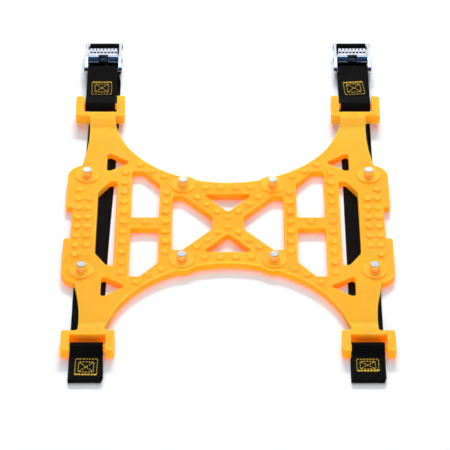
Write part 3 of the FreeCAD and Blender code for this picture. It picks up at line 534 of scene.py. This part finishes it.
def ribbon(name, side_x, points, first, last, drift):
    """Ribbed mesh of one stretch of strap between two distances along its route."""
    mesh = bpy.data.meshes.new(name)
    work = bmesh.new()
    layer = work.loops.layers.uv.new("weave")
    rows = []
    chosen = [index for index, (_, run) in enumerate(points) if first <= run <= last]
    for index in chosen:
        point, run = points[index]
        before = points[max(index - 1, 0)][0]
        after = points[min(index + 1, len(points) - 1)][0]
        heading = (after - before).normalized()
        up = Vector((-heading.y, heading.x))
        wave = math.cos(2 * math.pi * run / RIB_PITCH)
        swell = RIB_HIGH * abs(wave)
        shift = skew(run, drift)
        row = []
        for across, high in SECTION:
            on_flat = abs(high) == THICK / 2
            if not on_flat:
                across += math.copysign(RIB_WIDE, across) * (wave - 1) / 2
            rib_share = 1 if on_flat else RIB_EDGE_SHARE
            lift = high + math.copysign(swell * rib_share, high) if high else 0.0
            place = point + up * lift
            row.append(work.verts.new(((side_x + across + shift) * MM, place.x * MM, place.y * MM)))
        rows.append((row, run))
    count = len(SECTION)
    for (low, low_run), (high, high_run) in zip(rows, rows[1:]):
        for index in range(count):
            following = (index + 1) % count
            face = work.faces.new((low[index], low[following], high[following], high[index]))
            face.smooth = True
            places = (
                (SECTION[index][0], low_run),
                (SECTION[following][0], low_run),
                (SECTION[following][0], high_run),
                (SECTION[index][0], high_run),
            )
            for loop, place in zip(face.loops, places):
                loop[layer].uv = place
    for row, _ in (rows[0], rows[-1]):
        cap = work.faces.new(row)
        cap.material_index = 1
    bmesh.ops.recalc_face_normals(work, faces=work.faces)
    work.to_mesh(mesh)
    work.free()
    mesh.materials.append(WEBBING)
    mesh.materials.append(SEALED)
    piece = bpy.data.objects.new(name, mesh)
    bpy.context.scene.collection.objects.link(piece)
    return piece


def run_at(points, y, after):
    """Distance along the route where it passes a place, looked for beyond another distance."""
    for (a, run_a), (b, _) in zip(points, points[1:]):
        if run_a >= after and min(a.x, b.x) <= y <= max(a.x, b.x):
            return run_a
    raise ValueError("the strap doesn't pass %g" % y)


# Bends of the long strap, in the order that it follows them, as (y, z, inner radius). It starts inside the
# fold, goes round the front bar, folds back, runs under the plate and rises round the buckle's far bar.
MAIN_START = (-183.6, 1.25)
FRONT_BAR = (-152.0, 4.7, 2.8)
FRONT_BEND = (-162.5, 8.25, BEND)
FOLD = (-184.5, 0.925, 1.025)
RISE = (231.5, 6.3, 6.4)
FALL = (226.5, 8.1, BEND)
MAIN_END = (205.0, 2.45)
PIN_WRAP = 2.3

# A distance along the long strap that is past the front bar and before the fold.
PAST_FRONT_BAR = 60.0

# Where the long strap is cut into pieces, as distances past the fold.
SPLIT_FRONT = 14.5
SPLIT_MIDDLE = 185.0
SPLIT_BACK = 360.0
SPLIT_TAIL = 405.0

# Stretches where a strap drifts sideways. The first is before the strap's start, so that its drift holds all
# along. The next two are distances past the fold, and the last three are about where it is along Y.
SLOT_STRETCH = (-2.0, -1.0)
LEAN_STRETCH = (-28.0, -2.0)
FOLD_STRETCH = (0.0, 4.6)
SETTLE_STRETCH = (-170.0, -110.0)
WANDER_STRETCH = (-80.0, 160.0)
BUCKLE_STRETCH = (205.0, 224.0)

# How far the long strap sits off the middle of its slot, leans from there to the fold, steps aside in the
# fold, and comes back behind it.
FRONT_DRIFT = {"left": (-0.6, 0.9, -1.6, 0.0), "right": (-0.6, -0.4, -0.9, 1.4)}

# How far off the middle the long strap is behind the back bar and inside the buckle, and the sewn loop is all
# along.
BACK_DRIFT = {"left": (2.6, 0.3), "right": (-0.2, -0.2)}
LOOP_DRIFT = {"left": -0.35, "right": 0.35}

# Bends of the sewn loop, whose ends meet under the stitching.
LOOP_LOW_BACK = (190.0, 2.6, BEND)
LOOP_LOW_FRONT = (166.5, 2.6, BEND)
LOOP_HIGH_BACK = (190.0, 15.25, BEND)
LOOP_HIGH_FRONT = (166.5, 15.25, BEND)
BACK_BAR = (150.89, 10.37, 2.8)
LOOP_START = (177.7, 8.25)
LOOP_END = (177.3, 8.25)


def make_drift(side, fold_run):
    """Steps of the long strap's sideways drift, as (low, high, amount) along its length."""
    slot_drift, lean, fold_drift, settle = FRONT_DRIFT[side]
    back_drift, buckle_drift = BACK_DRIFT[side]
    so_far = slot_drift + lean + fold_drift + settle
    # Distance along the strap that is about 5 mm short of Y = 0.
    zero_run = fold_run - FOLD[0]
    return [
        (SLOT_STRETCH[0], SLOT_STRETCH[1], slot_drift),
        (fold_run + LEAN_STRETCH[0], fold_run + LEAN_STRETCH[1], lean),
        (fold_run + FOLD_STRETCH[0], fold_run + FOLD_STRETCH[1], fold_drift),
        (zero_run + SETTLE_STRETCH[0], zero_run + SETTLE_STRETCH[1], settle),
        (zero_run + WANDER_STRETCH[0], zero_run + WANDER_STRETCH[1], back_drift - so_far),
        (zero_run + BUCKLE_STRETCH[0], zero_run + BUCKLE_STRETCH[1], buckle_drift - back_drift),
    ]


def make_main_strap(side):
    """One length of webbing, from the fold under the front bar to the free end under the cam."""
    side_x = middle("strap_run_" + side).x
    far_bar = middle("buckle_far_bar_" + side)
    rollers = [
        FRONT_BAR + (1,),
        FRONT_BEND + (-1,),
        FOLD + (1,),
        RISE + (1,),
        (far_bar.y, far_bar.z, PIN_WRAP, 1),
        FALL + (-1,),
    ]
    points = route(MAIN_START, rollers, MAIN_END)
    total = points[-1][1]
    fold_run = run_at(points, FOLD[0], PAST_FRONT_BAR)
    split_front = fold_run + SPLIT_FRONT
    split_middle = fold_run + SPLIT_MIDDLE
    split_back = fold_run + SPLIT_BACK
    split_tail = fold_run + SPLIT_TAIL
    drift = make_drift(side, fold_run)

    fold = ribbon("webbing_front_fold_" + side, side_x, points, 0.0, split_front, drift)
    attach(fold, "front_loop_" + side)
    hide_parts("strap_front_" + side)

    front = ribbon("webbing_front_run_" + side, side_x, points, split_front - STEP, split_middle, drift)
    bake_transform(front)
    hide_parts("strap_run_" + side)

    back = ribbon("webbing_back_run_" + side, side_x, points, split_middle - STEP, split_back, drift)
    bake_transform(back)
    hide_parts("strap_link_" + side)

    under = ribbon("webbing_under_buckle_" + side, side_x, points, split_back - STEP, split_tail, drift)
    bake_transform(under)

    tail = ribbon("webbing_tail_" + side, side_x, points, split_tail - STEP, total, drift)
    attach(tail, "buckle_" + side)
    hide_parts("strap_tail_" + side)


def make_sewn_loop(side):
    """Short loop between the back bar and the buckle, sewn to itself."""
    side_x = middle("buckle_strap_" + side).x
    crossbar = middle("buckle_crossbar_" + side)
    rollers = [
        LOOP_LOW_BACK + (-1,),
        (crossbar.y, crossbar.z, PIN_WRAP, 1),
        LOOP_HIGH_BACK + (-1,),
        LOOP_HIGH_FRONT + (-1,),
        BACK_BAR + (1,),
        LOOP_LOW_FRONT + (-1,),
    ]
    points = route(LOOP_START, rollers, LOOP_END)
    drift = [(SLOT_STRETCH[0], SLOT_STRETCH[1], LOOP_DRIFT[side])]
    loop = ribbon("webbing_sewn_loop_" + side, side_x, points, 0.0, points[-1][1], drift)
    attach(loop, "buckle_loop_" + side)
    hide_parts("buckle_strap_" + side)


# ---------------------------------------------------------------------------
# Stitching
# ---------------------------------------------------------------------------

THREAD_RADIUS = 0.25
STITCH = 1.75
STITCH_GAP = 0.75
WANDER = 0.12
BOX_WIDE = 16.6
BOX_LONG = 18.0
SHORT_BOX_LONG = 13.6
INNER_WIDE = 11.4
INNER_LONG = 11.4
CROSS_INSET = 0.6

# The locked edge, worked back and forth: its rows, and the short stitches that cross them.
LOCK_ROWS = 2
LOCK_FIRST = 0.2
LOCK_PITCH = 0.75
LOCK_LEAN = 0.5
LOCK_WANDER = 0.25
LOCK_CROSSINGS = 11
LOCK_BEFORE = 0.35
LOCK_AFTER = 0.45
LOCK_DEEP = 1.25

# One stitch: rings of vertices along it, how thin its ends are, and how it rises out of the webbing.
THREAD_RING = 6
THREAD_SHARES = (0.0, 0.12, 0.3, 0.5, 0.7, 0.88, 1.0)
THREAD_THIN = 0.55
THREAD_FILL = 1.6
THREAD_SUNK = -0.12
THREAD_RISE = 0.34
THREAD_STEEP = 1.5


def seam(start, end, chance, wander=WANDER):
    """Stitches along a line: a list of (start, end) pairs with a little unevenness."""
    start = Vector(start)
    end = Vector(end)
    length = (end - start).length
    count = max(1, round(length / (STITCH + STITCH_GAP)))
    half_gap = STITCH_GAP / (2 * (STITCH + STITCH_GAP))
    stitches = []
    for index in range(count):
        low = (index + half_gap) / count
        high = (index + 1 - half_gap) / count
        jog = Vector((chance.uniform(-wander, wander), chance.uniform(-wander, wander)))
        stitches.append((start.lerp(end, low) + jog, start.lerp(end, high) + jog))
    return stitches


def rectangle(wide, long, chance):
    """Stitches round a rectangle."""
    corners = [(-wide / 2, -long / 2), (wide / 2, -long / 2), (wide / 2, long / 2), (-wide / 2, long / 2)]
    stitches = []
    for index in range(len(corners)):
        stitches += seam(corners[index], corners[(index + 1) % len(corners)], chance)
    return stitches


def lock_rows(edge_y, inwards, chance):
    """Close rows where the seam starts and ends, worked back and forth across the strap."""
    stitches = []
    for row in range(LOCK_ROWS):
        y = edge_y + inwards * (LOCK_FIRST + row * LOCK_PITCH)
        lean = chance.uniform(-LOCK_LEAN, LOCK_LEAN)
        stitches += seam((-BOX_WIDE / 2, y), (BOX_WIDE / 2, y + lean), chance, LOCK_WANDER)
    for index in range(LOCK_CROSSINGS):
        x = -BOX_WIDE / 2 + BOX_WIDE * (index + 0.5) / LOCK_CROSSINGS
        first = Vector((x - LOCK_BEFORE, edge_y))
        last = Vector((x + LOCK_AFTER, edge_y + LOCK_DEEP * inwards))
        stitches.append((first, last))
    return stitches


def thread_mesh(name, stitches, x, y, z, turn, body, node):
    """One mesh of rounded stitches that dip into the webbing at both ends."""
    mesh = bpy.data.meshes.new(name)
    work = bmesh.new()
    for start, end in stitches:
        along = end - start
        side = Vector((-along.y, along.x)).normalized()
        rows = []
        for share in THREAD_SHARES:
            bulge = math.sin(math.pi * share)
            fullness = min(1.0, bulge * THREAD_FILL)
            radius = THREAD_RADIUS * (THREAD_THIN + (1 - THREAD_THIN) * fullness)
            centre = start + along * share
            high = THREAD_SUNK + THREAD_RISE * min(1.0, bulge * THREAD_STEEP)
            row = []
            for index in range(THREAD_RING):
                angle = 2 * math.pi * index / THREAD_RING
                flat = centre + side * math.cos(angle) * radius
                px = flat.x * math.cos(turn) - flat.y * math.sin(turn)
                py = flat.x * math.sin(turn) + flat.y * math.cos(turn)
                pz = high + math.sin(angle) * radius
                row.append(work.verts.new(((x + px) * MM, (y + py) * MM, (z + pz) * MM)))
            rows.append(row)
        for low, high_row in zip(rows, rows[1:]):
            for index in range(THREAD_RING):
                following = (index + 1) % THREAD_RING
                face = work.faces.new((low[index], low[following], high_row[following], high_row[index]))
                face.smooth = True
        work.faces.new(rows[0])
        work.faces.new(rows[-1])
    bmesh.ops.recalc_face_normals(work, faces=work.faces)
    work.to_mesh(mesh)
    work.free()
    mesh.materials.append(THREAD)
    piece = bpy.data.objects.new(name, mesh)
    bpy.context.scene.collection.objects.link(piece)
    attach(piece, body)
    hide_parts(node)


def make_stitching(place, side, body, locked, long, move, turn, seed):
    """Box stitch with a cross in an inner box, and a locked edge at its back (1) or front (-1) end."""
    chance = random.Random(seed)
    node = "stitch_%s_%s" % (place, side)
    low, high = ends(node)
    centre = (low + high) / 2
    inner_long = long * INNER_LONG / BOX_LONG
    stitches = rectangle(BOX_WIDE, long, chance)
    stitches += rectangle(INNER_WIDE, inner_long, chance)
    half_x = INNER_WIDE / 2 - CROSS_INSET
    half_y = inner_long / 2 - CROSS_INSET
    stitches += seam((-half_x, -half_y), (half_x, half_y), chance)
    stitches += seam((half_x, -half_y), (-half_x, half_y), chance)
    stitches += lock_rows(locked * long / 2, -locked, chance)
    name = "thread_%s_%s" % (place, side)
    thread_mesh(name, stitches, centre.x + move[0], centre.y + move[1], low.z, turn, body, node)


for side in SIDES:
    make_main_strap(side)
    make_sewn_loop(side)

# The four sewn boxes: place, side, body, locked end, length, move from the CAD's place, turn in radians, seed.
SEWN = (
    ("front", "left", "front_loop_left", -1, BOX_LONG, (-0.2, 0.0), -0.02, 3),
    ("front", "right", "front_loop_right", -1, SHORT_BOX_LONG, (-1.6, 2.0), 0.02, 5),
    ("back", "left", "buckle_loop_left", 1, BOX_LONG, (0.0, 0.0), 0.01, 7),
    ("back", "right", "buckle_loop_right", 1, BOX_LONG, (0.0, 0.0), 0.09, 11),
)
for place, side, body, locked, long, move, turn, seed in SEWN:
    make_stitching(place, side, body, locked, long, move, turn, seed)


# ---------------------------------------------------------------------------
# Floor, lights and camera
# ---------------------------------------------------------------------------

# The floor lies just under the long straps.
FLOOR_HALF = 3.0
FLOOR_Z = -1.5 * MM
FLOOR_DARK = (0.89, 0.89, 0.89, 1)
FLOOR_LIGHT = (0.91, 0.91, 0.91, 1)

# What bright metal mirrors, from the horizon and below (0) to straight up (1).
ROOM = (
    (0.0, (0.01, 0.02, 0.04, 1)),
    (0.3, (0.02, 0.045, 0.09, 1)),
    (0.75, (0.015, 0.03, 0.06, 1)),
    (1.0, (0.05, 0.085, 0.15, 1)),
)

WARM_WHITE = (1.0, 0.99, 0.97)
FILL_WHITE = (1.0, 0.985, 0.97)
SKY_BLUE = (0.6, 0.78, 1.0)
STRIP_BLUE = (0.55, 0.75, 1.0)

# The camera aims at a point given in millimetres, from a distance in millimetres.
CAMERA_AIM = (-2.4, -3.86, 6.0)
CAMERA_FAR = 2263.0
CAMERA_TILT = math.radians(38.5)
CAMERA_LENS = 226.3


def make_floor():
    mesh = bpy.data.meshes.new("studio_floor")
    work = bmesh.new()
    bmesh.ops.create_grid(work, x_segments=8, y_segments=8, size=FLOOR_HALF)
    bmesh.ops.translate(work, verts=work.verts, vec=(0, 0, FLOOR_Z))
    work.to_mesh(mesh)
    work.free()
    made = Nodes("studio_white")
    made.set(Base_Color=made.mix(made.noise(3.0), FLOOR_DARK, FLOOR_LIGHT))
    made.set(Roughness=0.9, Specular_IOR_Level=0.0)
    mesh.materials.append(made.material)
    floor = bpy.data.objects.new("studio_floor", mesh)
    bpy.context.scene.collection.objects.link(floor)


def make_light(name, place, wide, high, power, colour=(1, 1, 1), mirrored=True):
    """Soft box aimed at the plate. A light that isn't mirrored lights metal without showing in it."""
    light = bpy.data.lights.new(name, "AREA")
    light.shape = "RECTANGLE"
    light.size = wide
    light.size_y = high
    light.energy = power
    light.color = colour
    lamp = bpy.data.objects.new(name, light)
    lamp.location = place
    lamp.rotation_euler = (-Vector(place)).to_track_quat("-Z", "Y").to_euler()
    lamp.visible_glossy = mirrored
    bpy.context.scene.collection.objects.link(lamp)


def make_world():
    """Dark blue room that bright metal mirrors, a little paler overhead."""
    world = bpy.data.worlds.new("studio")
    bpy.context.scene.world = world
    world.use_nodes = True
    tree = world.node_tree
    background = tree.nodes["Background"]
    background.inputs["Strength"].default_value = 1.0
    coordinates = tree.nodes.new("ShaderNodeTexCoord")
    parts = tree.nodes.new("ShaderNodeSeparateXYZ")
    tree.links.new(coordinates.outputs["Generated"], parts.inputs[0])
    ramp = tree.nodes.new("ShaderNodeValToRGB")
    tree.links.new(parts.outputs[2], ramp.inputs[0])
    tree.links.new(ramp.outputs[0], background.inputs["Color"])
    stops = ramp.color_ramp.elements
    stops[0].position, stops[0].color = ROOM[0]
    stops[1].position, stops[1].color = ROOM[-1]
    for position, colour in ROOM[1:-1]:
        stops.new(position).color = colour


def make_camera():
    data = bpy.data.cameras.new("camera")
    data.lens = CAMERA_LENS
    data.clip_end = 20.0
    camera = bpy.data.objects.new("camera", data)
    aim = Vector(CAMERA_AIM) * MM
    back = Vector((0, -math.cos(CAMERA_TILT), math.sin(CAMERA_TILT))) * CAMERA_FAR * MM
    camera.location = aim + back
    camera.rotation_euler = (aim - camera.location).to_track_quat("-Z", "Y").to_euler()
    bpy.context.scene.collection.objects.link(camera)
    bpy.context.scene.camera = camera


make_floor()
make_world()
make_light("key", (0.1, 1.7, 1.25), wide=0.9, high=0.35, power=38.0, colour=WARM_WHITE, mirrored=False)
make_light("sky", (0, 0.2, 2.4), wide=3.2, high=3.2, power=34.0, mirrored=False)
make_light("card", (0, 1.78, 0.98), wide=2.2, high=0.95, power=8.0)
make_light("top", (0, 1.0, 1.6), wide=1.2, high=0.2, power=3.0, colour=SKY_BLUE)
make_light("front_strip", (0, -2.0, 0.3), wide=2.0, high=0.08, power=1.0, colour=STRIP_BLUE)
make_light("fill", (0, -2.2, 0.6), wide=2.4, high=0.9, power=46.0, colour=FILL_WHITE, mirrored=False)
make_camera()
bpy.context.scene.view_settings.view_transform = "Standard"
